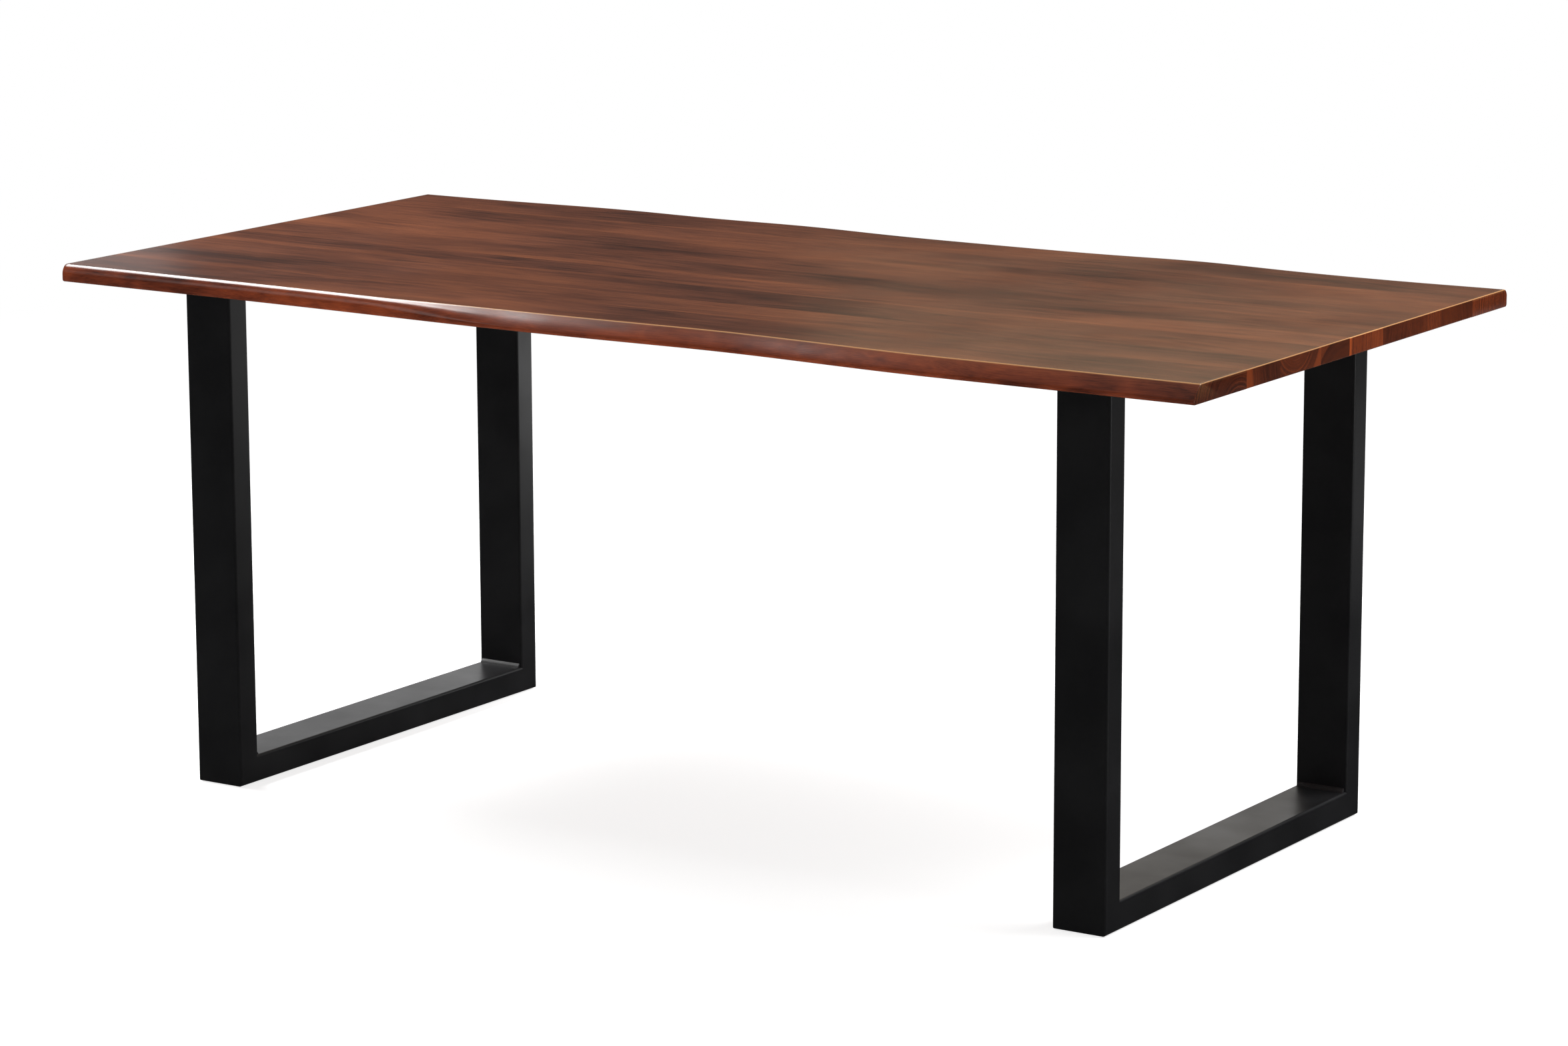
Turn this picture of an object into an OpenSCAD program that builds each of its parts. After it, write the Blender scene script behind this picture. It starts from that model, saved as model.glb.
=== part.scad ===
// Live-edge butcher block table on two welded U-shaped leg frames.
// Origin: on the floor, under the middle of the top. +X along the length, +Y to the rear, +Z up.

/* [Top] */
// Length of the top along the staves
top_l = 1860; // [1500:10:2400]
// Width of the top over the widest points of both live edges
top_w = 925; // [850:10:1100]
// Thickness of the top
top_t = 25; // [22:1:45]
// Height of the table from the floor to the top face
table_h = 760; // [700:5:800]
// Radius of the eased edges at both sawn ends
end_ease = 1.5; // [0.5:0.5:3]

/* [Live edge] */
// How strongly the live edges wander in plan
edge_wave = 1; // [0:0.1:1.5]
// How far the front top edge stands in, along the sloped stretch
front_slope = 18; // [10:1:24]
// How far the front top edge stands in, along the rounded stretch
front_round = 9; // [5:1:14]
// Radius of the rear top edge
rear_round = 10; // [5:1:14]

/* [Leg frames] */
// Wide face of the leg tube, along the table
tube_w = 80; // [60:1:100]
// Narrow face of the leg tube
tube_d = 40; // [30:1:50]
// Wall thickness of the leg tube
tube_wall = 2.5; // [1.5:0.5:4]
// Outer corner radius of the leg tube
tube_r = 3.5; // [3:0.5:5]
// Depth of a leg frame from front face to rear face
frame_d = 735; // [680:5:760]
// Distance from each end of the top to the outer face of its leg frame
overhang = 170; // [60:5:300]
// Size of the fillet weld in each corner
weld_r = 5.5; // [3:0.5:8]
// Height of the floor glides under the foot bar
glide_t = 2; // [1:0.5:4]

/* [Fixings] */
// Thickness of the plate that carries the top
plate_t = 5; // [4:1:8]
// Distance of the outer bolts from the middle of the frame
bolt_outer = 285; // [250:5:290]
// Distance of the inner bolts from the middle of the frame
bolt_inner = 95; // [70:5:120]
// Length of the slotted holes, which let the wood move
slot_l = 16; // [10:1:20]

/* [Hidden] */
$fn = 48;
eps = 1;

// Heights from the floor up
top_under = table_h - top_t;
plate_under = top_under - plate_t;
bar_top = glide_t + tube_d;

// Plan positions
half_l = top_l / 2;
half_w = top_w / 2;
half_d = frame_d / 2;
left_x = -half_l + overhang + tube_w / 2;
right_x = -left_x;
bolt_ys = [-bolt_outer, -bolt_inner, bolt_inner, bolt_outer];

// Glue lines between the nine staves, front to rear, for a top 925 wide
glue_lines = [-322, -230, -116, -34, 64, 146, 242, 340];
seams = [for (y = glue_lines) y * top_w / 925];

// Live-edge section: bottom rounding, and how far down the rounded shoulders reach
bottom_r = 4;
front_drop = 15;
rear_drop = rear_round;
edge_steps = 76;
arc_steps = 9;
bottom_steps = 4;

// Where the front edge changes from a rounded shoulder to a planed slope
round_end = -400;
slope_start = -120;
slope_bulge = 0.25;

// Fixings: M8 hexagon bolts in threaded inserts
bolt_r = 3.95;
bolt_l = 20;
head_flats = 13;
head_h = 5.3;
washer_r = 12;
washer_hole_r = 4.2;
washer_t = 1.6;
slot_r = 4.5;
insert_crest_r = 5.95;
insert_root_r = 5.2;
insert_bore_r = 4;
insert_l = 15;
insert_threads = 5;
insert_hole_r = 6;
insert_hole_l = 16;

// Floor glides: a nylon disc with a stem that plugs into the bar
glide_r = 12.5;
glide_ease = 0.6;
glide_stem_r = 3;
glide_stem_l = 7;
glide_inset = 32;

// ---- plan outline of the live edges ----

function smooth_step(x, a, b) = let (t = min(1, max(0, (x - a) / (b - a)))) t * t * (3 - 2 * t);
function swell(x, centre, spread) = exp(-pow((x - centre) / spread, 2));
function blend(a, b, t) = a + (b - a) * t;

// How far each edge lies inside the widest line, at x along the table
function front_dip(x) =
    24 * (1 - smooth_step(x, 150, 550)) - 13 * swell(x, -120, 300);
function rear_dip(x) =
    19 * (1 - swell(x, -560, 200)) - 16 * swell(x, -230, 140)
    - 16 * swell(x, 450, 130) - 9 * swell(x, 950, 120);

function front_out(x) = half_w - edge_wave * front_dip(x);
function rear_out(x) = half_w - edge_wave * rear_dip(x);
function front_in(x) = blend(front_round, front_slope, smooth_step(x, round_end, slope_start));
function front_bulge(x) = blend(1, slope_bulge, smooth_step(x, round_end, slope_start));

// ---- section of a live edge: [distance from the centre line, height above the underside] ----

function shoulder(out, inset, drop, bulge, t) =
    let (
        round_u = out - inset + inset * sin(90 * t),
        round_z = top_t - drop * (1 - cos(90 * t)),
        slope_u = out - inset + inset * t,
        slope_z = top_t - (top_t - bottom_r - 1) * t
    )
    [blend(slope_u, round_u, bulge), blend(slope_z, round_z, bulge)];

function edge_section(seam, out, inset, drop, bulge) = concat(
    [[seam, top_t]],
    [for (i = [0:arc_steps]) shoulder(out, inset, drop, bulge, i / arc_steps)],
    [for (i = [0:bottom_steps])
        let (a = 90 * i / bottom_steps)
        [out - bottom_r * (1 - cos(a)), bottom_r * (1 - sin(a))]],
    [[seam, 0]]
);

section_points = arc_steps + bottom_steps + 4;

// A skin through equal sections along X; side is -1 for the front edge and 1 for the rear edge
module edge_sweep(sections, side) {
    n = section_points;
    last = edge_steps * n;
    points = [for (i = [0:edge_steps]) for (p = sections[i])
        [-half_l + top_l * i / edge_steps, side * p[0], top_under + p[1]]];
    skin = [for (i = [0:edge_steps - 1]) for (j = [0:n - 1])
        let (a = i * n + j, b = i * n + (j + 1) % n)
        side < 0 ? [a, a + n, b + n, b] : [a, b, b + n, a + n]];
    near_cap = [for (j = [0:n - 1]) side < 0 ? j : n - 1 - j];
    far_cap = [for (j = [0:n - 1]) side < 0 ? last + n - 1 - j : last + j];
    polyhedron(points, concat(skin, [near_cap], [far_cap]), convexity = 4);
}

function station(i) = -half_l + top_l * i / edge_steps;

// ---- top ----

// Side view of the whole top, with eased ends, cut to the stretch from y0 to y1
module board_blank(y0, y1) {
    translate([0, y1, top_under])
        rotate([90, 0, 0])
            linear_extrude(y1 - y0) {
                translate([-half_l, end_ease]) square([top_l, top_t - 2 * end_ease]);
                translate([-half_l + end_ease, 0]) square([top_l - 2 * end_ease, top_t]);
                for (x = [-half_l + end_ease, half_l - end_ease], z = [end_ease, top_t - end_ease])
                    translate([x, z]) circle(end_ease);
            }
}

module insert_holes(y0, y1) {
    for (x = [left_x, right_x], y = bolt_ys)
        if (y > y0 && y < y1)
            translate([x, y, top_under - eps]) cylinder(h = insert_hole_l + eps, r = insert_hole_r);
}

module plain_stave(i, tone) {
    color(tone)
        difference() {
            board_blank(seams[i], seams[i + 1]);
            insert_holes(seams[i], seams[i + 1]);
        }
}

module front_live_edge_stave() {
    color("#5a2d1e")
        intersection() {
            board_blank(-half_w - eps, seams[0]);
            edge_sweep([for (i = [0:edge_steps])
                let (x = station(i))
                edge_section(-seams[0], front_out(x), front_in(x), front_drop, front_bulge(x))], -1);
        }
}

module rear_live_edge_stave() {
    color("#5a2d1e")
        intersection() {
            board_blank(seams[len(seams) - 1], half_w + eps);
            edge_sweep([for (i = [0:edge_steps])
                let (x = station(i))
                edge_section(seams[len(seams) - 1], rear_out(x), rear_round, rear_drop, 1)], 1);
        }
}

// ---- leg frame: every module draws one frame's piece, centred on x ----

module rounded_rect(w, d, r) {
    square([w - 2 * r, d], center = true);
    square([w, d - 2 * r], center = true);
    for (x = [-w / 2 + r, w / 2 - r], y = [-d / 2 + r, d / 2 - r])
        translate([x, y]) circle(r);
}

module tube_section() {
    difference() {
        rounded_rect(tube_w, tube_d, tube_r);
        rounded_rect(tube_w - 2 * tube_wall, tube_d - 2 * tube_wall, max(0.5, tube_r - tube_wall));
    }
}

// A prism along X from a [y, z] outline, wider than the tube, that trims the mitres
module side_prism(outline) {
    translate([-tube_w / 2 - eps, 0, 0])
        rotate([90, 0, 90])
            linear_extrude(tube_w + 2 * eps) polygon(outline);
}

// side is -1 for the front upright and 1 for the rear upright
module upright(x, side) {
    outline = [
        [side * (half_d + eps), glide_t - eps],
        [side * (half_d - tube_d - eps), bar_top + eps],
        [side * (half_d - tube_d - eps), plate_under],
        [side * (half_d + eps), plate_under]
    ];
    color("#1b1b1c")
        translate([x, 0, 0])
            intersection() {
                translate([0, side * (half_d - tube_d / 2), glide_t])
                    linear_extrude(plate_under - glide_t) tube_section();
                side_prism(outline);
            }
}

module foot_bar(x) {
    outline = [
        [-half_d - eps, glide_t - eps],
        [half_d + eps, glide_t - eps],
        [half_d - tube_d - eps, bar_top + eps],
        [-half_d + tube_d + eps, bar_top + eps]
    ];
    color("#1f1f20")
        translate([x, 0, 0])
            difference() {
                intersection() {
                    translate([0, half_d, glide_t + tube_d / 2])
                        rotate([90, 0, 0])
                            linear_extrude(frame_d) tube_section();
                    side_prism(outline);
                }
                for (side = [-1, 1])
                    translate([0, side * (half_d - glide_inset), glide_t - eps])
                        cylinder(h = tube_wall + 2 * eps, r = glide_stem_r);
            }
}

module top_plate(x) {
    color("#1b1b1c")
        translate([x, 0, plate_under])
            difference() {
                linear_extrude(plate_t) rounded_rect(tube_w, frame_d, tube_r);
                for (y = bolt_ys)
                    translate([0, y, -eps])
                        linear_extrude(plate_t + 2 * eps) {
                            square([2 * slot_r, slot_l - 2 * slot_r], center = true);
                            for (s = [-1, 1]) translate([0, s * (slot_l / 2 - slot_r)]) circle(slot_r);
                        }
            }
}

// Quarter-round bead along X in the corner at [y, z]; the signs say which way the corner opens
module weld_bead(x, y, z, open_y, open_z) {
    bead_l = tube_w - 2 * tube_r;
    color("#262627")
        translate([x - bead_l / 2, y, z])
            rotate([90, 0, 90])
                linear_extrude(bead_l)
                    intersection() {
                        circle(weld_r);
                        translate([open_y < 0 ? -weld_r : 0, open_z < 0 ? -weld_r : 0]) square(weld_r);
                    }
}

// side is -1 for the front corner and 1 for the rear corner
module corner_weld(x, side) {
    weld_bead(x, side * (half_d - tube_d), bar_top, -side, 1);
}

module plate_weld(x, side) {
    weld_bead(x, side * (half_d - tube_d), plate_under, -side, -1);
}

module floor_glides(x) {
    profile = [
        [0, 0],
        [glide_r - glide_ease, 0],
        [glide_r, glide_ease],
        [glide_r, glide_t],
        [glide_stem_r - 0.05, glide_t],
        [glide_stem_r - 0.05, glide_t + glide_stem_l - glide_ease],
        [glide_stem_r - glide_ease, glide_t + glide_stem_l],
        [0, glide_t + glide_stem_l]
    ];
    color("#2b2b2b")
        for (side = [-1, 1])
            translate([x, side * (half_d - glide_inset), 0])
                rotate_extrude() polygon(profile);
}

module threaded_inserts(x) {
    pitch = insert_l / insert_threads;
    flank = concat(
        [[insert_bore_r, 0]],
        [for (i = [0:insert_threads - 1]) each [
            [insert_root_r, i * pitch],
            [insert_crest_r, (i + 0.5) * pitch]
        ]],
        [[insert_root_r, insert_l], [insert_bore_r, insert_l]]
    );
    color("#b08d4a")
        for (y = bolt_ys)
            translate([x, y, top_under]) rotate_extrude() polygon(flank);
}

module washers(x) {
    color("#8d8f92")
        for (y = bolt_ys)
            translate([x, y, plate_under - washer_t])
                difference() {
                    cylinder(h = washer_t, r = washer_r);
                    translate([0, 0, -eps]) cylinder(h = washer_t + 2 * eps, r = washer_hole_r);
                }
}

module bolts(x) {
    head_r = head_flats / 2 / cos(30);
    dome = [
        [0, 0],
        [head_flats / 2 - 0.3, 0],
        [head_r, 0.9],
        [head_r, head_h],
        [0, head_h]
    ];
    color("#77797c")
        for (y = bolt_ys)
            translate([x, y, plate_under - washer_t - head_h]) {
                intersection() {
                    cylinder(h = head_h, r = head_r, $fn = 6);
                    rotate_extrude() polygon(dome);
                }
                translate([0, 0, head_h]) cylinder(h = bolt_l, r = bolt_r);
            }
}

// ---- the table ----

front_live_edge_stave();
plain_stave(0, "#6b3826");  // stave_2
plain_stave(1, "#5f3122");  // stave_3
plain_stave(2, "#743f2a");  // stave_4
plain_stave(3, "#5b2f20");  // stave_5
plain_stave(4, "#6f3b28");  // stave_6
plain_stave(5, "#633425");  // stave_7
plain_stave(6, "#703d29");  // stave_8
rear_live_edge_stave();

upright(left_x, -1);  // left_front_upright
upright(left_x, 1);  // left_rear_upright
foot_bar(left_x);  // left_foot_bar
top_plate(left_x);  // left_top_plate
corner_weld(left_x, -1);  // left_front_corner_weld
corner_weld(left_x, 1);  // left_rear_corner_weld
plate_weld(left_x, -1);  // left_front_plate_weld
plate_weld(left_x, 1);  // left_rear_plate_weld
floor_glides(left_x);  // left_floor_glides
threaded_inserts(left_x);  // left_threaded_inserts
washers(left_x);  // left_washers
bolts(left_x);  // left_bolts

upright(right_x, -1);  // right_front_upright
upright(right_x, 1);  // right_rear_upright
foot_bar(right_x);  // right_foot_bar
top_plate(right_x);  // right_top_plate
corner_weld(right_x, -1);  // right_front_corner_weld
corner_weld(right_x, 1);  // right_rear_corner_weld
plate_weld(right_x, -1);  // right_front_plate_weld
plate_weld(right_x, 1);  // right_rear_plate_weld
floor_glides(right_x);  // right_floor_glides
threaded_inserts(right_x);  // right_threaded_inserts
washers(right_x);  // right_washers
bolts(right_x);  // right_bolts
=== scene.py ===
import math

import bpy
import numpy as np
from mathutils import Matrix, Vector, noise


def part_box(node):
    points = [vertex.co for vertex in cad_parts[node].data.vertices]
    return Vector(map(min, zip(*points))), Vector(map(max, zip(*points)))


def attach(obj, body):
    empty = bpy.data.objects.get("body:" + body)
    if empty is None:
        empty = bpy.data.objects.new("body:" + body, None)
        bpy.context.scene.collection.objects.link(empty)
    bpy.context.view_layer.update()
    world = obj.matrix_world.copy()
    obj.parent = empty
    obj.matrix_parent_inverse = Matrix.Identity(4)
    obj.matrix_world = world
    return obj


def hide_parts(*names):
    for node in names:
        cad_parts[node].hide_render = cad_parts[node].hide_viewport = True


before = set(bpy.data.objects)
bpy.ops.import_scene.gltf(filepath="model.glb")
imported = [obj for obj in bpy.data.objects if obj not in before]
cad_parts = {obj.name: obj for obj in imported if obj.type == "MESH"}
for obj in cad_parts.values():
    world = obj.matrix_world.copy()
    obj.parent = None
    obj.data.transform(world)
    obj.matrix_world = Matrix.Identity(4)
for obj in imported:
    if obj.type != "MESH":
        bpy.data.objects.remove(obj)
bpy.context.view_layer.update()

mm = 0.001
print("frame loaded:", len(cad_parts), "nodes")


def linear(hexColour):
    # sRGB hex to the linear values that the shaders take
    channels = [int(hexColour[i:i + 2], 16) / 255 for i in (1, 3, 5)]
    return [c / 12.92 if c <= 0.04045 else ((c + 0.055) / 1.055) ** 2.4 for c in channels] + [1.0]


def addNode(tree, kind, inputs=None, take=None, stops=None, **settings):
    # adds one node, sets or links its inputs, and gives back the output that is taken from it
    node = tree.nodes.new("ShaderNode" + kind)
    for name, value in settings.items():
        setattr(node, name, value)
    for i, (place, colour) in enumerate(stops or []):
        stop = node.color_ramp.elements[i] if i < 2 else node.color_ramp.elements.new(place)
        stop.position = place
        stop.color = linear(colour) if isinstance(colour, str) else (colour, colour, colour, 1)
    for key, value in (inputs or {}).items():
        socket = node.inputs[key] if isinstance(key, int) else next(
            s for s in node.inputs if s.enabled and s.name == key)
        if isinstance(value, bpy.types.NodeSocket):
            tree.links.new(value, socket)
        else:
            socket.default_value = linear(value) if isinstance(value, str) else value
    return node.outputs[take] if take else next((s for s in node.outputs if s.enabled), node)


def newMaterial(name):
    material = bpy.data.materials.new(name)
    material.use_nodes = True
    material.node_tree.nodes.clear()
    return material, material.node_tree


def giveMaterial(piece, material):
    piece.data.materials.clear()
    piece.data.materials.append(material)


def selectOnly(piece):
    bpy.ops.object.select_all(action="DESELECT")
    piece.select_set(True)
    bpy.context.view_layer.objects.active = piece


def bakePlace(piece):
    # the finished piece sits at the origin, with its place in its mesh
    selectOnly(piece)
    bpy.ops.object.transform_apply(location=True, rotation=True, scale=True)


def pointAt(thing, target):
    thing.rotation_euler = (Vector(target) - thing.location).to_track_quat("-Z", "Y").to_euler()


cameraSet = {
    "place": (3.772, -5.770, 1.823),
    "heading": 32.999,  # degrees round from straight in front
    "tilt": 11.624,  # degrees below the level
    "roll": -0.180,
    "lens": 113.15,
}


def makeCamera():
    data = bpy.data.cameras.new("camera")
    data.sensor_width = 36
    data.lens = cameraSet["lens"]
    data.clip_start, data.clip_end = 0.05, 200
    camera = bpy.data.objects.new("camera", data)
    bpy.context.scene.collection.objects.link(camera)
    turn = (Matrix.Rotation(math.radians(cameraSet["heading"]), 4, "Z")
            @ Matrix.Rotation(math.radians(90 - cameraSet["tilt"]), 4, "X")
            @ Matrix.Rotation(math.radians(cameraSet["roll"]), 4, "Z"))
    camera.matrix_world = Matrix.Translation(cameraSet["place"]) @ turn
    bpy.context.scene.camera = camera


makeCamera()
bpy.context.scene.view_settings.view_transform = "Standard"
print("camera placed")


studio = {
    "floorRadius": 70.0,
    "floorColour": "#c8c8c8",
    "fadeStart": 1.6,  # metres from the middle where the floor starts to fade to pure white
    "fadeEnd": 5.0,
    "floorGlow": 0.8,  # keeps the shadows on the paper pale
    "roomLight": 0.11,
    "dimBelow": (0.12, 0.3),  # how high up the room is still dim, and its share of the light there
    "lightAbove": (0.7, 2.0),
}

# softboxes: place, aim, width, depth, power in watts, colour; the cards stand behind, under the top
softboxes = {
    "keyBox": ((-2.1, 0.0, 2.5), (-2.1, -0.45, 0.76), 1.0, 1.8, 108, "#ffffff"),
    "topBox": ((1.9, 0.9, 3.0), (0.7, 0.1, 0.75), 2.2, 2.0, 114, "#ffffff"),
    "sideBox": ((4.0, 0.9, 0.40), (0.8, 0.0, 0.5), 1.8, 0.6, 11, "#ffffff"),
    "frontBox": ((-2.4, -2.74, 1.87), (-0.6, -0.46, 0.75), 1.0, 1.0, 3.6, "#ffffff"),
    "lowBackBox": ((-1.1, 1.75, 0.50), (-0.2, 0.0, 0.2), 2.8, 0.42, 4.5, "#ffffff"),
    "sheenBox": ((-1.0, 3.2, 1.95), (0.4, -0.3, 0.76), 1.7, 0.5, 2.9, "#ffe8bc"),
    "leftSheenBox": ((-4.45, 3.2, 1.35), (-0.9, 0.0, 0.76), 1.0, 0.5, 1.0, "#ffffff"),
    "bounceCard": ((0.45, 2.1, 0.25), (-0.68, 0.35, 0.45), 0.8, 0.5, 2.2, "#ffffff"),
    "floorCard": ((0.8, 1.9, 0.20), (0.4, 0.0, 0.3), 1.8, 0.36, 0.6, "#ffffff"),
}


def addSoftbox(name):
    place, aim, width, depth, power, colour = softboxes[name]
    data = bpy.data.lights.new(name, "AREA")
    data.shape = "RECTANGLE"
    data.size, data.size_y, data.energy = width, depth, power
    data.color = linear(colour)[:3]
    box = bpy.data.objects.new(name, data)
    bpy.context.scene.collection.objects.link(box)
    box.location = place
    pointAt(box, aim)
    box.visible_camera = False


def makeStudio():
    bpy.ops.mesh.primitive_circle_add(vertices=96, radius=studio["floorRadius"], fill_type="NGON")
    floor = bpy.context.object
    floor.name = "studioFloor"
    floor.visible_glossy = False
    material, tree = newMaterial("whitePaperFloor")  # white paper, see-through from below
    spot = addNode(tree, "TexCoord", take="Object")
    far = addNode(tree, "VectorMath", {0: spot}, "Value", operation="LENGTH")
    fade = addNode(tree, "MapRange", {"Value": far, "From Min": studio["fadeStart"],
                                      "From Max": studio["fadeEnd"]}, interpolation_type="SMOOTHSTEP")
    paper = addNode(tree, "BsdfDiffuse", {"Color": studio["floorColour"]})
    lift = addNode(tree, "Emission", {"Color": "#ffffff", "Strength": studio["floorGlow"]})
    sheet = addNode(tree, "AddShader", {0: paper, 1: lift})
    white = addNode(tree, "Emission", {"Color": "#ffffff"})
    surface = addNode(tree, "MixShader", {0: fade, 1: sheet, 2: white})
    clear = addNode(tree, "BsdfTransparent")
    below = addNode(tree, "NewGeometry", take="Backfacing")
    both = addNode(tree, "MixShader", {0: below, 1: surface, 2: clear})
    addNode(tree, "OutputMaterial", {"Surface": both})
    giveMaterial(floor, material)

    bpy.ops.mesh.primitive_uv_sphere_add(segments=48, ring_count=24, radius=studio["floorRadius"])
    backdrop = bpy.context.object
    backdrop.name = "studioBackdrop"
    backdrop.visible_glossy = backdrop.visible_diffuse = backdrop.visible_shadow = False
    material, tree = newMaterial("whiteBackdrop")
    glow = addNode(tree, "Emission", {"Color": "#ffffff"})
    addNode(tree, "OutputMaterial", {"Surface": glow})
    giveMaterial(backdrop, material)

    # the room: dim along the level, lighter overhead
    world = bpy.data.worlds.new("studioRoom")
    world.use_nodes = True
    bpy.context.scene.world = world
    tree = world.node_tree
    tree.nodes.clear()
    aim = addNode(tree, "TexCoord", take="Generated")
    height = addNode(tree, "SeparateXYZ", {0: aim}).node.outputs["Z"]
    dimHeight, dimShare = studio["dimBelow"]
    lightHeight, lightShare = studio["lightAbove"]
    wall = addNode(tree, "MapRange", {"Value": height, "From Min": dimHeight, "From Max": lightHeight,
                                      "To Min": studio["roomLight"] * dimShare,
                                      "To Max": studio["roomLight"] * lightShare})
    light = addNode(tree, "Background", {"Color": "#ffffff", "Strength": wall})
    addNode(tree, "OutputWorld", {"Surface": light})

    for name in softboxes:
        addSoftbox(name)


makeStudio()
print("studio ready")


wood = {
    "dark": "#2d150d",
    "body": "#613624",
    "warm": "#834c30",
    "toneStops": (0.38, 0.50, 0.63),  # where the figure turns dark, body and warm
    "sapwood": "#a8623a",
    "sapBlend": 4 * mm,
    "stain": "#27140e",  # mineral streaks and the hearts of knots
    "endTint": "#c89c6c",  # sawn ends drink the most stain
    "edgeTint": "#ffc8a6",  # the moulded long edges come out redder
    # the moulded long edges are painted this much lighter: painted light in place of fill on those faces
    "paintedEdgeLight": 1.4,
    "edgeGoldAndHighlight": "#cf9c68",  # stain sanded thin on an arris, and a painted highlight along that arris
    "ringWidth": 3.6 * mm,  # one year's growth

    # the size of each figure in millimetres: along the stave, across it and up
    "wander": (568.2, 625.0, 625.0),
    "ripple": (555.6, 71.43, 71.43),
    "streak": (117.65, 10.87, 10.87),
    "fibre": (60.0, 0.9, 0.9),  # about twice as coarse as real, or it would not show
    "pore": (18.0, 0.9, 0.9),  # so are the pores
    "cloud": (500.0, 153.85, 153.85),
    "curl": (66.67, 33.33, 22.73),
    "smear": (142.86, 9.091, 0.0),  # frays the dark marks; 0 is no change that way
    "glueShows": (294.12, 0.0, 0.0),  # stretches where the glue lines are lighter

    # how far the trunk's bends and its ripples push the years sideways and up
    "wanderReach": (0.0, 90 * mm, 40 * mm),
    "rippleReach": (0.0, 6 * mm, 4 * mm),
    "ledShare": (0.0, 1.0, 0.12),  # the streaks follow only this much of the wander

    # how much each figure counts in the tone, the first two on the face and on a sawn end
    "yearShare": (0.26, 0.75),
    "sapShare": (0.12, 0.62),
    "curlShare": 0.80,
    "fibreShare": 0.36,
    "cloudShare": 0.42,
    "poreShare": 0.35,

    "seamWidth": 0.9 * mm,
    "seamShare": 0.6,
    "seamOnEnds": 0.15,
    "lacquerRough": 0.225,
    "roughSwing": 0.03,  # more or less rough by this, in patches
    "patchSize": 166.7 * mm,
    "relief": 0.15 * mm,
}

# each stave: where its pith lies from the stave's own centre (across, up), how light its face is,
# how light its sawn end is, where sapwood starts (metres from the pith), and a place in the noise
staves = {
    "front_live_edge_stave": {"pith": (0.060, -0.055), "tone": 1.05, "end": 1.00, "sap": 0.50, "seed": 1.3},
    "stave_2": {"pith": (0.150, 0.010), "tone": 0.98, "end": 0.95, "sap": 0.185, "seed": 4.1},
    "stave_3": {"pith": (-0.004, 0.034), "tone": 0.96, "end": 0.92, "sap": 0.068, "seed": 7.7},
    "stave_4": {"pith": (0.020, -0.075), "tone": 1.10, "end": 0.62, "sap": 0.096, "seed": 11.2},
    "stave_5": {"pith": (0.190, -0.020), "tone": 0.94, "end": 1.75, "sap": 0.232, "seed": 14.8},
    "stave_6": {"pith": (-0.160, 0.030), "tone": 1.03, "end": 1.15, "sap": 0.40, "seed": 18.5},
    "stave_7": {"pith": (0.210, 0.015), "tone": 0.97, "end": 1.12, "sap": 0.256, "seed": 22.1},
    "stave_8": {"pith": (-0.170, -0.030), "tone": 1.04, "end": 0.82, "sap": 0.216, "seed": 25.9},
    "rear_live_edge_stave": {"pith": (0.022, 0.004), "tone": 1.00, "end": 1.60, "sap": 0.105, "seed": 29.4},
}

# knots and dark mineral streaks on the top: x, y, length and width in metres, depth of tone
darkMarks = [
    (-0.685, 0.310, 0.170, 0.044, 0.80), (-0.581, -0.034, 0.070, 0.009, 0.8),
    (-0.531, -0.150, 0.100, 0.012, 0.7), (-0.432, -0.035, 0.060, 0.009, 0.7),
    (-0.219, -0.292, 0.045, 0.010, 0.6), (-0.097, -0.299, 0.040, 0.008, 0.6),
    (-0.735, -0.238, 0.380, 0.070, 0.95), (-0.435, 0.349, 0.110, 0.014, 0.5),
    (0.380, -0.157, 0.030, 0.010, 0.9), (0.324, -0.212, 0.036, 0.012, 0.7),
    (0.393, 0.173, 0.034, 0.014, 0.8), (0.721, -0.164, 0.070, 0.020, 0.6),
    (-0.017, 0.116, 0.090, 0.018, 0.6), (0.140, 0.215, 0.260, 0.040, 0.45),
]


def perMetre(sizes):
    # how many figures of these sizes, in millimetres, go into a metre
    return tuple(1 / (size * mm) if size else 0.0 for size in sizes)


def grainFigure(tree, space, sizes, take="Fac", **inputs):
    # noise drawn out to the figure's own size
    drawn = addNode(tree, "VectorMath", {0: space, 1: perMetre(sizes)}, operation="MULTIPLY")
    return addNode(tree, "TexNoise", {"Vector": drawn, "Scale": 1.0, **inputs}, take)


def grainSway(tree, space, sizes, detail):
    # the same noise as a push to and fro, half a unit each way
    push = grainFigure(tree, space, sizes, "Color", Detail=detail)
    return addNode(tree, "VectorMath", {0: push, 1: (-0.5, -0.5, -0.5)})


def facingShares(tree):
    # how far this place is a sawn end or a moulded edge, and which way it faces
    facing = addNode(tree, "NewGeometry", take="Normal")
    turned = addNode(tree, "SeparateXYZ", {0: facing}).node.outputs
    endOn = addNode(tree, "Math", {0: turned["X"]}, operation="ABSOLUTE")
    endGrain = addNode(tree, "MapRange", {"Value": endOn, "From Min": 0.6, "From Max": 0.95})
    edgeOn = addNode(tree, "Math", {0: turned["Y"]}, operation="ABSOLUTE")
    edgeGrain = addNode(tree, "MapRange", {"Value": edgeOn, "From Min": 0.35, "From Max": 0.8})
    return endGrain, edgeGrain, endOn, edgeOn, turned["Z"]


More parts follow.
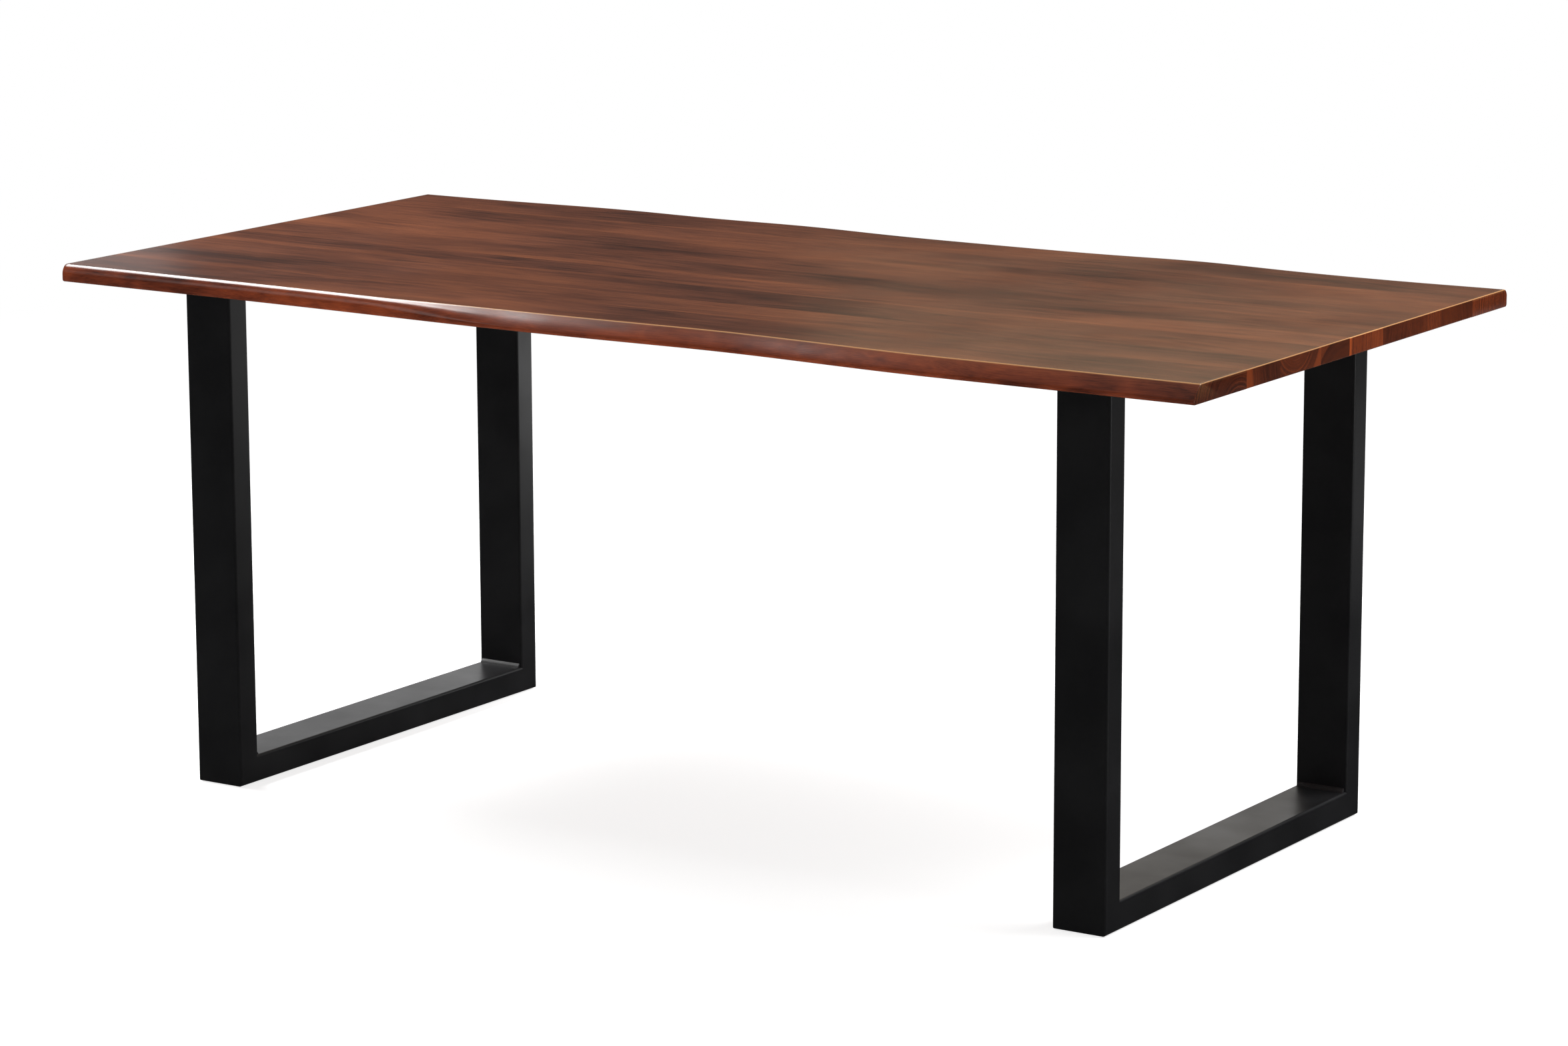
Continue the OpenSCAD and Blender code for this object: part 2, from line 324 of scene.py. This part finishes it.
def bendTrunk(tree, spot, seed):
    # the trunk wanders: the years bend with it, the streaks are only led sideways
    wander = grainSway(tree, seed, wood["wander"], 1.0)
    wanderBy = addNode(tree, "VectorMath", {0: wander, 1: wood["wanderReach"]}, operation="MULTIPLY")
    ripple = grainSway(tree, seed, wood["ripple"], 2.0)
    rippleBy = addNode(tree, "VectorMath", {0: ripple, 1: wood["rippleReach"]}, operation="MULTIPLY")
    bentOnce = addNode(tree, "VectorMath", {0: spot, 1: wanderBy})
    bent = addNode(tree, "VectorMath", {0: bentOnce, 1: rippleBy})
    sideways = addNode(tree, "VectorMath", {0: wanderBy, 1: wood["ledShare"]}, operation="MULTIPLY")
    led = addNode(tree, "VectorMath", {0: spot, 1: sideways})
    return bent, led


def growYears(tree, bent, pith):
    # rings round the pith, each year with its own tone
    fromPith = addNode(tree, "VectorMath", {0: bent, 1: pith}, operation="SUBTRACT")
    across = addNode(tree, "VectorMath", {0: fromPith, 1: (0.0, 1.0, 1.0)}, operation="MULTIPLY")
    radius = addNode(tree, "VectorMath", {0: across}, "Value", operation="LENGTH")
    years = addNode(tree, "Math", {0: radius, 1: 1 / wood["ringWidth"]}, operation="MULTIPLY")
    yearTone = addNode(tree, "TexNoise", {"W": years, "Scale": 1.0, "Detail": 3.0, "Roughness": 0.6},
                       "Fac", noise_dimensions="1D")
    return radius, yearTone


def markKnots(tree, spot, seed, streak, low, high):
    # knots and mineral streaks, frayed along the grain and broken up by it; None on a clear stave
    fray = grainSway(tree, seed, wood["smear"], 2.0)
    darkness = None
    for x, y, length, width, depth in darkMarks:
        if not low.y - width < y < high.y + width:
            continue
        frayed = addNode(tree, "VectorMath", {0: fray, 1: (length * 0.7, width * 0.5, 0)},
                         operation="MULTIPLY")
        near = addNode(tree, "VectorMath", {0: spot, 1: frayed})
        fromMark = addNode(tree, "VectorMath", {0: near, 1: (x, y, high.z)}, operation="SUBTRACT")
        sized = addNode(tree, "VectorMath", {0: fromMark, 1: (2 / length, 2 / width, 12)},
                        operation="MULTIPLY")
        away = addNode(tree, "VectorMath", {0: sized}, "Value", operation="LENGTH")
        mark = addNode(tree, "MapRange", {"Value": away, "From Min": 0.1, "From Max": 1.4,
                                          "To Min": depth, "To Max": 0.0}, interpolation_type="SMOOTHSTEP")
        darkness = mark if darkness is None else addNode(
            tree, "Math", {0: darkness, 1: mark}, operation="MAXIMUM")
    if darkness is None:
        return None
    broken = addNode(tree, "MapRange", {"Value": streak, "From Min": 0.3, "From Max": 0.62,
                                        "To Min": 0.95, "To Max": 0.5})
    return addNode(tree, "Math", {0: darkness, 1: broken}, operation="MULTIPLY")


def glueLines(tree, spot, seed, endGrain, low, high):
    # the thin glue line along each joint, lighter here and there, and faint on the sawn ends
    y = addNode(tree, "SeparateXYZ", {0: spot}).node.outputs["Y"]
    joint = None
    for seam in (low.y, high.y):
        if abs(seam) > 0.45:  # that side is the live edge
            continue
        gap = addNode(tree, "Math", {0: y, 1: seam}, operation="SUBTRACT")
        away = addNode(tree, "Math", {0: gap}, operation="ABSOLUTE")
        line = addNode(tree, "MapRange", {"Value": away, "From Min": 0.0, "From Max": wood["seamWidth"],
                                          "To Min": 1.0, "To Max": 0.0})
        joint = line if joint is None else addNode(tree, "Math", {0: joint, 1: line}, operation="MAXIMUM")
    stretch = grainFigure(tree, seed, wood["glueShows"], Detail=2.0)
    lighter = addNode(tree, "MapRange", {"Value": stretch, "From Min": 0.42, "From Max": 0.62,
                                         "To Min": 0.0, "To Max": wood["seamShare"]})
    mostlyFace = addNode(tree, "MapRange", {"Value": endGrain, "To Min": 1.0, "To Max": wood["seamOnEnds"]})
    faceJoint = addNode(tree, "Math", {0: joint, 1: mostlyFace}, operation="MULTIPLY")
    return addNode(tree, "Math", {0: faceJoint, 1: lighter}, operation="MULTIPLY")


def rubbedThinAndHighlit(tree, endOn, edgeOn, up):
    # stain sanded thin along the sawn ends' arrises and the planed front arris, and a painted highlight along
    # the same lines
    flatOn = addNode(tree, "MapRange", {"Value": edgeOn, "From Min": 0.05, "From Max": 0.30,
                                        "To Min": 1.0, "To Max": 0.0})
    flatUp = addNode(tree, "Math", {0: flatOn, 1: up}, operation="MULTIPLY")
    cornerOn = addNode(tree, "Math", {0: endOn, 1: flatUp}, operation="MULTIPLY")
    corner = addNode(tree, "MapRange", {"Value": cornerOn, "From Min": 0.10, "From Max": 0.45,
                                        "To Min": 0.0, "To Max": 0.75})
    planed = addNode(tree, "Attribute", take="Fac", attribute_name="edgeWearAndHighlight")
    return addNode(tree, "Math", {0: corner, 1: planed}, operation="MAXIMUM")


def woodMaterial(nodeName):
    # brown-stained hardwood under satin lacquer: soft long streaks on the face, and years drawn
    # round a pith that runs along the stave, so that face and end grain agree
    stave = staves[nodeName]
    low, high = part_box(nodeName)
    centre = (low + high) / 2
    material, tree = newMaterial("stainedLacqueredWood_" + nodeName)
    spot = addNode(tree, "TexCoord", take="Object")
    seed = addNode(tree, "VectorMath", {0: spot, 1: (stave["seed"], stave["seed"] * 0.7, 0)})
    endGrain, edgeGrain, endOn, edgeOn, up = facingShares(tree)
    bent, led = bendTrunk(tree, spot, seed)
    pith = (0.0, centre.y + stave["pith"][0], centre.z + stave["pith"][1])
    radius, yearTone = growYears(tree, bent, pith)

    # streaks, fibres, pores and clouds run along the stave; the curl shows on the moulded edges
    ledSeed = addNode(tree, "VectorMath", {0: led, 1: (stave["seed"], 0, 0)})
    streak = grainFigure(tree, ledSeed, wood["streak"], Detail=5.0, Roughness=0.68)
    fibre = grainFigure(tree, ledSeed, wood["fibre"], Detail=3.0)
    poreNoise = grainFigure(tree, ledSeed, wood["pore"], Detail=1.0)
    pore = addNode(tree, "MapRange", {"Value": poreNoise, "From Min": 0.60, "From Max": 0.72})
    cloud = grainFigure(tree, ledSeed, wood["cloud"], Detail=3.0)
    curl = grainFigure(tree, seed, wood["curl"], Detail=4.0, Distortion=0.8)

    # streaks lead on the face, years lead on the end
    onFace, onEnd = wood["yearShare"]
    yearShare = addNode(tree, "Mix", {"Factor": endGrain, "A": onFace, "B": onEnd})
    faceTone = addNode(tree, "Mix", {"Factor": yearShare, "A": streak, "B": yearTone})
    curlShare = addNode(tree, "Math", {0: edgeGrain, 1: wood["curlShare"]}, operation="MULTIPLY")
    withCurl = addNode(tree, "Mix", {"Factor": curlShare, "A": faceTone, "B": curl})
    withFibre = addNode(tree, "Mix", {"Factor": wood["fibreShare"], "A": withCurl, "B": fibre})
    withCloud = addNode(tree, "Mix", {"Factor": wood["cloudShare"], "A": withFibre, "B": cloud})
    darkAt, bodyAt, warmAt = wood["toneStops"]
    colour = addNode(tree, "ValToRGB", {0: withCloud}, stops=[
        (darkAt, wood["dark"]), (warmAt, wood["warm"]), (bodyAt, wood["body"])])

    # sapwood wedges, beyond a given distance from the pith
    sapEdge = addNode(tree, "MapRange", {"Value": radius, "From Min": stave["sap"],
                                         "From Max": stave["sap"] + wood["sapBlend"]})
    onFace, onEnd = wood["sapShare"]
    sapShows = addNode(tree, "Mix", {"Factor": endGrain, "A": onFace, "B": onEnd})
    sapHere = addNode(tree, "Math", {0: sapEdge, 1: sapShows}, operation="MULTIPLY")
    colour = addNode(tree, "Mix", {"Factor": sapHere, "A": colour, "B": wood["sapwood"]}, data_type="RGBA")

    # dark marks, pores and glue lines
    marked = markKnots(tree, spot, seed, streak, low, high)
    if marked is not None:
        colour = addNode(tree, "Mix", {"Factor": marked, "A": colour, "B": wood["stain"]}, data_type="RGBA")
    poreHere = addNode(tree, "Math", {0: pore, 1: wood["poreShare"]}, operation="MULTIPLY")
    colour = addNode(tree, "Mix", {"Factor": poreHere, "A": colour, "B": wood["dark"]}, data_type="RGBA")
    glued = glueLines(tree, spot, seed, endGrain, low, high)
    colour = addNode(tree, "Mix", {"Factor": glued, "A": colour, "B": wood["sapwood"]}, data_type="RGBA")

    # cut and moulded wood drinks more stain, and a sanded arris loses it; that arris is also painted lighter
    # as a painted highlight
    colour = addNode(tree, "Mix", {"Factor": endGrain, "A": colour, "B": wood["endTint"]},
                     data_type="RGBA", blend_type="MULTIPLY")
    colour = addNode(tree, "Mix", {"Factor": edgeGrain, "A": colour, "B": wood["edgeTint"]},
                     data_type="RGBA", blend_type="MULTIPLY")
    wornAndHighlit = rubbedThinAndHighlit(tree, endOn, edgeOn, up)
    colour = addNode(tree, "Mix", {"Factor": wornAndHighlit, "A": colour, "B": wood["edgeGoldAndHighlight"]}, data_type="RGBA")
    # the moulded edges are painted lighter than the face: painted fill light on them, over each stave's own
    # tone
    toneAndPaintedEdgeLight = addNode(tree, "Mix", {"Factor": edgeGrain, "A": stave["tone"],
                                     "B": stave["tone"] * wood["paintedEdgeLight"]})
    tone = addNode(tree, "Mix", {"Factor": endGrain, "A": toneAndPaintedEdgeLight, "B": stave["end"]})
    colour = addNode(tree, "VectorMath", {0: colour, "Scale": tone}, operation="SCALE")

    # lacquer: it levels the pores but keeps a breath of the grain
    handling = addNode(tree, "TexNoise", {"Vector": spot, "Scale": 1 / wood["patchSize"],
                                          "Detail": 3.0}, "Fac")
    rough = addNode(tree, "MapRange", {"Value": handling, "From Min": 0.3, "From Max": 0.7,
                                       "To Min": wood["lacquerRough"] - wood["roughSwing"],
                                       "To Max": wood["lacquerRough"] + wood["roughSwing"]})
    relief = addNode(tree, "Mix", {"Factor": 0.5, "A": fibre, "B": streak})
    pitted = addNode(tree, "Math", {0: relief, 1: poreHere}, operation="SUBTRACT")
    bump = addNode(tree, "Bump", {"Strength": 0.08, "Distance": wood["relief"], "Height": pitted})
    surface = addNode(tree, "BsdfPrincipled", {
        "Base Color": colour, "Roughness": rough, "IOR": 1.5, "Normal": bump})
    addNode(tree, "OutputMaterial", {"Surface": surface})
    return material


woodMaterials = {name: woodMaterial(name) for name in staves}
for name in staves:
    if name.startswith("stave"):
        giveMaterial(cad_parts[name], woodMaterials[name])
print("wood on the staves")


# outlines and sections in millimetres
liveEdge = {
    "halfWidth": 462.5,
    "thick": 25.0,
    "bottomRound": 4.0,
    "frontDrop": 15.0,
    "frontInset": (11.0, 18.0),  # how far the shoulder runs in, where it is round and where it slopes
    "frontBulge": (1.0, 0.25),
    "changeOver": (-400.0, -120.0),  # along the table, from round to sloped
    "rearRound": 10.0,
    "lead": 3.0,  # how far each section starts inside its arris
    "finePoints": 160,
    "arrisSoft": 4,  # how many fine points to either side an arris is sanded back over
    "stationStep": 5.0,
    "faceSteps": 34,
    "endEase": 1.0,
    "waver": 0.45,  # how far the hand-shaped face wanders in and out
    "slowWaver": (85.0, 60.0),  # its long waves, along and up
    "quickWaver": (26.0, 14.0),
    "wearAndHighlight": (0.85, 1.2),  # how far the planed arris loses its stain and takes a painted highlight, and how wide
}


def smoothStep(x, start, end):
    t = min(1.0, max(0.0, (x - start) / (end - start)))
    return t * t * (3 - 2 * t)


def swell(x, centre, spread):
    return math.exp(-((x - centre) / spread) ** 2)


def frontDip(x):
    # the left part stands in 24 mm and swells out again in its middle
    return 24 * (1 - smoothStep(x, 150, 550)) - 13 * swell(x, -120, 300)


def rearDip(x):
    # stands in 19 mm, but comes out in four swells
    return (19 * (1 - swell(x, -560, 200)) - 16 * swell(x, -230, 140)
            - 16 * swell(x, 450, 130) - 9 * swell(x, 950, 120))


def frontEdge(x):
    # outermost line, inset, drop and roundness of the front shoulder at x, and how far it is planed
    t = smoothStep(x, *liveEdge["changeOver"])
    inset, bulge = [a + (b - a) * t for a, b in (liveEdge["frontInset"], liveEdge["frontBulge"])]
    return liveEdge["halfWidth"] - frontDip(x), inset, liveEdge["frontDrop"], bulge, t


def rearEdge(x):
    return liveEdge["halfWidth"] - rearDip(x), liveEdge["rearRound"], liveEdge["rearRound"], 1.0, 0.0


def shoulderPath(out, inset, drop, bulge):
    # from just inside the top arris, over the shoulder, to just inside the bottom arris
    top, low = liveEdge["thick"], liveEdge["bottomRound"]
    shoulderSteps, roundSteps = 40, 8
    path = [(out - inset - liveEdge["lead"], top)]
    for i in range(shoulderSteps + 1):
        t = i / shoulderSteps
        quarter = math.pi / 2 * t
        roundU, roundZ = out - inset + inset * math.sin(quarter), top - drop * (1 - math.cos(quarter))
        slopeU, slopeZ = out - inset + inset * t, top - (top - low - 1) * t
        path.append((slopeU + (roundU - slopeU) * bulge, slopeZ + (roundZ - slopeZ) * bulge))
    for i in range(1, roundSteps + 1):
        quarter = math.pi / 2 * i / roundSteps
        path.append((out - low * (1 - math.cos(quarter)), low * (1 - math.sin(quarter))))
    path.append((out - low - liveEdge["lead"], 0.0))
    return np.array(path)


def evenPoints(path, count):
    # points evenly spaced along a path, and how far along it each one is
    far = np.concatenate([[0], np.cumsum(np.hypot(*np.diff(path, axis=0).T))])
    at = np.linspace(0, far[-1], count)
    return np.stack([np.interp(at, far, path[:, 0]), np.interp(at, far, path[:, 1])], 1), at


def section(x, seam, edge, seed):
    # the whole section at x, as distances from the centre line and heights above the underside
    out, inset, drop, bulge, sloped = edge(x)
    fine, _ = evenPoints(shoulderPath(out, inset, drop, bulge), liveEdge["finePoints"])
    reach = liveEdge["arrisSoft"]
    soft = fine.copy()
    for i in range(reach, len(fine) - reach):
        soft[i] = fine[i - reach:i + reach + 1].mean(0)
    face, at = evenPoints(soft, liveEdge["faceSteps"])
    slowLong, slowHigh = liveEdge["slowWaver"]
    quickLong, quickHigh = liveEdge["quickWaver"]
    wearAndHighlightDepth, wearAndHighlightWidth = liveEdge["wearAndHighlight"]
    wearAndHighlight = []
    for i, (u, z) in enumerate(face):
        share = math.sin(math.pi * i / (len(face) - 1))
        slow = noise.noise(Vector((x / slowLong + seed, z / slowHigh, 0.3)))
        quick = noise.noise(Vector((x / quickLong + seed, z / quickHigh, 5.1)))
        face[i, 0] = u - liveEdge["waver"] * share * (1 + slow + 0.4 * quick)
        # the planed arris is painted lighter: thinner stain and a painted highlight
        wearAndHighlight.append(wearAndHighlightDepth * sloped * swell(at[i], liveEdge["lead"], wearAndHighlightWidth))
    inner = [(seam + (face[0, 0] - seam) * t, liveEdge["thick"]) for t in (0.0, 0.5, 0.9)]
    under = [(seam + (face[-1, 0] - seam) * t, 0.0) for t in (0.9, 0.5, 0.0)]
    return [*inner, *map(tuple, face), *under], [0.0] * 3 + wearAndHighlight + [0.0] * 3


def pickEdges(piece, wanted):
    # edit mode, with only the wanted edges selected
    bpy.ops.object.mode_set(mode="EDIT")
    bpy.ops.mesh.select_all(action="DESELECT")
    bpy.ops.mesh.select_mode(type="EDGE")
    bpy.ops.object.mode_set(mode="OBJECT")
    for rim in piece.data.edges:
        a, b = (piece.data.vertices[i].co for i in rim.vertices)
        rim.select = wanted(a, b)
    bpy.ops.object.mode_set(mode="EDIT")


def closePlank(piece, seamY, endX):
    # closes the glued face and both ends, then eases the sawn ends
    near = 0.001 * mm

    def onSeam(a, b):
        return abs(abs(a.y) - seamY) < near and abs(abs(b.y) - seamY) < near

    def onEnd(a, b):
        return abs(abs(a.x) - endX) < near and abs(abs(b.x) - endX) < near and not onSeam(a, b)

    selectOnly(piece)
    pickEdges(piece, onSeam)
    bpy.ops.mesh.bridge_edge_loops()
    bpy.ops.mesh.select_all(action="DESELECT")
    bpy.ops.mesh.select_non_manifold(extend=False)
    bpy.ops.mesh.edge_face_add()
    bpy.ops.mesh.select_all(action="SELECT")
    bpy.ops.mesh.normals_make_consistent(inside=False)
    pickEdges(piece, onEnd)
    bpy.ops.mesh.bevel(offset=liveEdge["endEase"] * mm, segments=3, affect="EDGES")
    bpy.ops.object.mode_set(mode="OBJECT")


def makeLiveEdge(nodeName, edge, side, seed):
    # side is -1 at the front and 1 at the rear; seed is the plank's place in the noise
    low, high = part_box(nodeName)
    seam = abs(high.y if side < 0 else low.y) / mm
    halfLength = high.x / mm
    stations = int(2 * halfLength / liveEdge["stationStep"])
    ring = liveEdge["faceSteps"] + 6  # three points more on the flat above and three below
    bpy.ops.object.select_all(action="DESELECT")
    bpy.ops.mesh.primitive_grid_add(x_subdivisions=stations, y_subdivisions=ring - 1, size=2)
    piece = bpy.context.object
    piece.name = nodeName.replace("stave", "plank")
    mesh = piece.data

    # each row of the grid becomes one section, wrapped round the stave
    sections = {}
    wearAndHighlight = np.zeros(len(mesh.vertices), np.float32)
    for vertex in mesh.vertices:
        station = round((vertex.co.x + 1) / 2 * stations)
        place = round((vertex.co.y + 1) / 2 * (ring - 1))
        x = -halfLength + 2 * halfLength * station / stations
        if station not in sections:
            sections[station] = section(x, seam, edge, seed)
        points, arrisWearAndHighlight = sections[station]
        u, z = points[place]
        vertex.co = (x * mm, side * u * mm, low.z + z * mm)
        wearAndHighlight[vertex.index] = arrisWearAndHighlight[place]
    # the arris line is stored on the mesh: thinner stain and a painted highlight
    mesh.attributes.new("edgeWearAndHighlight", "FLOAT", "POINT").data.foreach_set("value", wearAndHighlight)
    closePlank(piece, seam * mm, high.x)
    bpy.ops.object.shade_smooth_by_angle(angle=math.radians(32))
    giveMaterial(piece, woodMaterials[nodeName])
    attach(piece, "root")
    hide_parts(nodeName)


makeLiveEdge("front_live_edge_stave", frontEdge, -1, 3.7)
makeLiveEdge("rear_live_edge_stave", rearEdge, 1, 41.9)
print("live edges shaped")


powderCoat = {
    "colour": "#111113",
    "dusty": "#18181a",
    "dustSize": 111.1 * mm,
    "rough": 0.36,
    "roughOverWeld": 0.55,
    "peel": 0.35,
    "peelOverWeld": 0.25,
    "peelSize": 1.4 * mm,  # the orange-peel texture of baked powder
}


def powderCoatMaterial(name, rough, peel):
    # polyester powder baked on steel: near black, a fine orange peel, a soft sheen
    material, tree = newMaterial(name)
    spot = addNode(tree, "TexCoord", take="Object")
    grain = addNode(tree, "TexNoise", {"Vector": spot, "Scale": 1 / powderCoat["peelSize"],
                                       "Detail": 2.0}, "Fac")
    dust = addNode(tree, "TexNoise", {"Vector": spot, "Scale": 1 / powderCoat["dustSize"],
                                      "Detail": 4.0}, "Fac")
    tone = addNode(tree, "ValToRGB", {0: dust}, stops=[
        (0.35, powderCoat["colour"]), (0.75, powderCoat["dusty"])])
    gloss = addNode(tree, "MapRange", {"Value": dust, "From Min": 0.3, "From Max": 0.7,
                                       "To Min": rough - 0.05, "To Max": rough + 0.07})
    bump = addNode(tree, "Bump", {"Strength": peel, "Distance": 0.05 * mm, "Height": grain})
    surface = addNode(tree, "BsdfPrincipled", {
        "Base Color": tone, "Roughness": gloss, "IOR": 1.5, "Normal": bump})
    addNode(tree, "OutputMaterial", {"Surface": surface})
    return material


steelPaint = powderCoatMaterial("blackPowderCoat", powderCoat["rough"], powderCoat["peel"])
weldPaint = powderCoatMaterial("blackPowderCoatOverWeld", powderCoat["roughOverWeld"],
                               powderCoat["peelOverWeld"])
for side in ("left", "right"):
    for part in ("front_upright", "rear_upright", "foot_bar", "top_plate"):
        giveMaterial(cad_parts[f"{side}_{part}"], steelPaint)
print("frames coated")


weld = {
    "ripple": 2.6 * mm,  # distance between the ripples of the bead
    "rippleDepth": 0.28 * mm,
    "lag": 1.1 * mm,  # how far each ripple's middle trails its toes
    "endHeight": 0.55,  # how high the bead starts and ends, as a share of its full height
    "endTaper": 0.675 * mm,  # it grows to full height over this much of its length
    "fullness": 0.5,  # 0 is flat from toe to toe, 1 is a full quarter round
    "steps": 112,
    "roundSteps": 10,
}


def makeBead(nodeName):
    # one bead in the corner of its box: a cut cylinder, its skin pushed into ripples
    low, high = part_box(nodeName)
    leg, length = high.z - low.z, high.x - low.x
    bpy.ops.object.select_all(action="DESELECT")
    bpy.ops.mesh.primitive_cylinder_add(vertices=4 * weld["roundSteps"], radius=leg, depth=length,
                                        end_fill_type="NGON", rotation=(0, math.pi / 2, 0))
    bead = bpy.context.object
    bakePlace(bead)
    bpy.ops.object.mode_set(mode="EDIT")
    for cut in ((0, 1, 0), (0, 0, 1)):
        bpy.ops.mesh.select_all(action="SELECT")
        bpy.ops.mesh.bisect(plane_co=(0, 0, 0), plane_no=cut, use_fill=True, clear_inner=True)
    for i in range(1, weld["steps"]):
        bpy.ops.mesh.select_all(action="SELECT")
        bpy.ops.mesh.bisect(plane_co=(-length / 2 + length * i / weld["steps"], 0, 0), plane_no=(1, 0, 0))
    bpy.ops.object.mode_set(mode="OBJECT")
    for vertex in bead.data.vertices:
        x, y, z = vertex.co
        far = math.hypot(y, z)
        if far < leg * 0.9:  # only the skin is pushed
            continue
        angle = math.atan2(z, y)
        flat = leg / (math.cos(angle) + math.sin(angle))
        grown = (length / 2 - abs(x)) / weld["endTaper"]
        taper = min(1.0, weld["endHeight"] + (1 - weld["endHeight"]) * grown)
        wave = abs(math.sin(math.pi * (x + weld["lag"] * math.sin(2 * angle)) / weld["ripple"]))
        full = flat + (leg - flat) * weld["fullness"]
        reach = (full - weld["rippleDepth"] * (1 - wave) * math.sin(2 * angle)) * taper
        vertex.co = (x, reach * math.cos(angle), reach * math.sin(angle))
    bpy.ops.object.shade_smooth_by_angle(angle=math.radians(50))
    return bead


def placeBead(bead, nodeName):
    # mirrored into its corner by which end of the frame it is at
    low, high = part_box(nodeName)
    atRear = high.y > 0
    piece = bead.copy()
    piece.data = bead.data.copy()
    piece.name = nodeName.replace("weld", "bead")
    bpy.context.scene.collection.objects.link(piece)
    atTop = high.z > 0.4  # under the plate, not on the foot bar
    piece.scale = (1, -1 if atRear else 1, -1 if atTop else 1)
    piece.location = ((low.x + high.x) / 2, high.y if atRear else low.y, high.z if atTop else low.z)
    flipped = piece.scale.y * piece.scale.z < 0
    bakePlace(piece)
    if flipped:
        bpy.ops.object.mode_set(mode="EDIT")
        bpy.ops.mesh.select_all(action="SELECT")
        bpy.ops.mesh.normals_make_consistent(inside=False)
        bpy.ops.object.mode_set(mode="OBJECT")
    giveMaterial(piece, weldPaint)
    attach(piece, "root")
    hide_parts(nodeName)


bead = makeBead("left_front_corner_weld")
for side in ("left", "right"):
    for corner in ("front_corner", "rear_corner", "front_plate", "rear_plate"):
        placeBead(bead, f"{side}_{corner}_weld")
bpy.data.objects.remove(bead)
print("welds run")


# light and dark tone, roughness, and how wide a crystal or a wipe mark is
metals = {
    "brightZincPlate": ("#c9cbce", "#a9abae", 0.32, 1.6 * mm),
    "turnedBrass": ("#d9b26a", "#b98d48", 0.30, 0.8 * mm),
}
scratchSize = 1.11 * mm  # wider than real, or they would not show

nylon = {
    "tone": "#1c1c1d",
    "scuffed": "#3a3a3a",
    "rough": 0.55,
    "grainSize": 0.4545 * mm,
    "scuffSize": 6.25 * mm,
}


def metalMaterial(name):
    # plated or turned metal: crystals or wipe marks a millimetre or so wide, in tone and gloss
    light, dark, rough, markWidth = metals[name]
    material, tree = newMaterial(name)
    spot = addNode(tree, "TexCoord", take="Object")
    cell = addNode(tree, "TexVoronoi", {"Vector": spot, "Scale": 1 / markWidth}, "Color")
    shade = addNode(tree, "SeparateXYZ", {0: cell}).node.outputs["X"]
    tone = addNode(tree, "ValToRGB", {0: shade}, stops=[(0.0, dark), (1.0, light)])
    gloss = addNode(tree, "MapRange", {"Value": shade, "To Min": rough - 0.06, "To Max": rough + 0.08})
    scratch = addNode(tree, "TexNoise", {"Vector": spot, "Scale": 1 / scratchSize, "Detail": 2.0}, "Fac")
    bump = addNode(tree, "Bump", {"Strength": 0.15, "Distance": 0.03 * mm, "Height": scratch})
    surface = addNode(tree, "BsdfPrincipled", {
        "Base Color": tone, "Metallic": 1.0, "Roughness": gloss, "Normal": bump})
    addNode(tree, "OutputMaterial", {"Surface": surface})
    return material


def nylonMaterial():
    # moulded black nylon: matt, with the fine grain of a spark-eroded mould
    material, tree = newMaterial("mouldedBlackNylon")
    spot = addNode(tree, "TexCoord", take="Object")
    grain = addNode(tree, "TexNoise", {"Vector": spot, "Scale": 1 / nylon["grainSize"], "Detail": 2.0}, "Fac")
    scuff = addNode(tree, "TexNoise", {"Vector": spot, "Scale": 1 / nylon["scuffSize"], "Detail": 4.0}, "Fac")
    tone = addNode(tree, "ValToRGB", {0: scuff}, stops=[(0.4, nylon["tone"]), (0.8, nylon["scuffed"])])
    bump = addNode(tree, "Bump", {"Strength": 0.3, "Distance": 0.05 * mm, "Height": grain})
    surface = addNode(tree, "BsdfPrincipled", {
        "Base Color": tone, "Roughness": nylon["rough"], "IOR": 1.53, "Normal": bump})
    addNode(tree, "OutputMaterial", {"Surface": surface})
    return material


zinc = metalMaterial("brightZincPlate")
brass = metalMaterial("turnedBrass")
blackNylon = nylonMaterial()
for side in ("left", "right"):
    for part, material in (("washers", zinc), ("bolts", zinc), ("threaded_inserts", brass),
                           ("floor_glides", blackNylon)):
        giveMaterial(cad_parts[f"{side}_{part}"], material)
print("fixings finished")
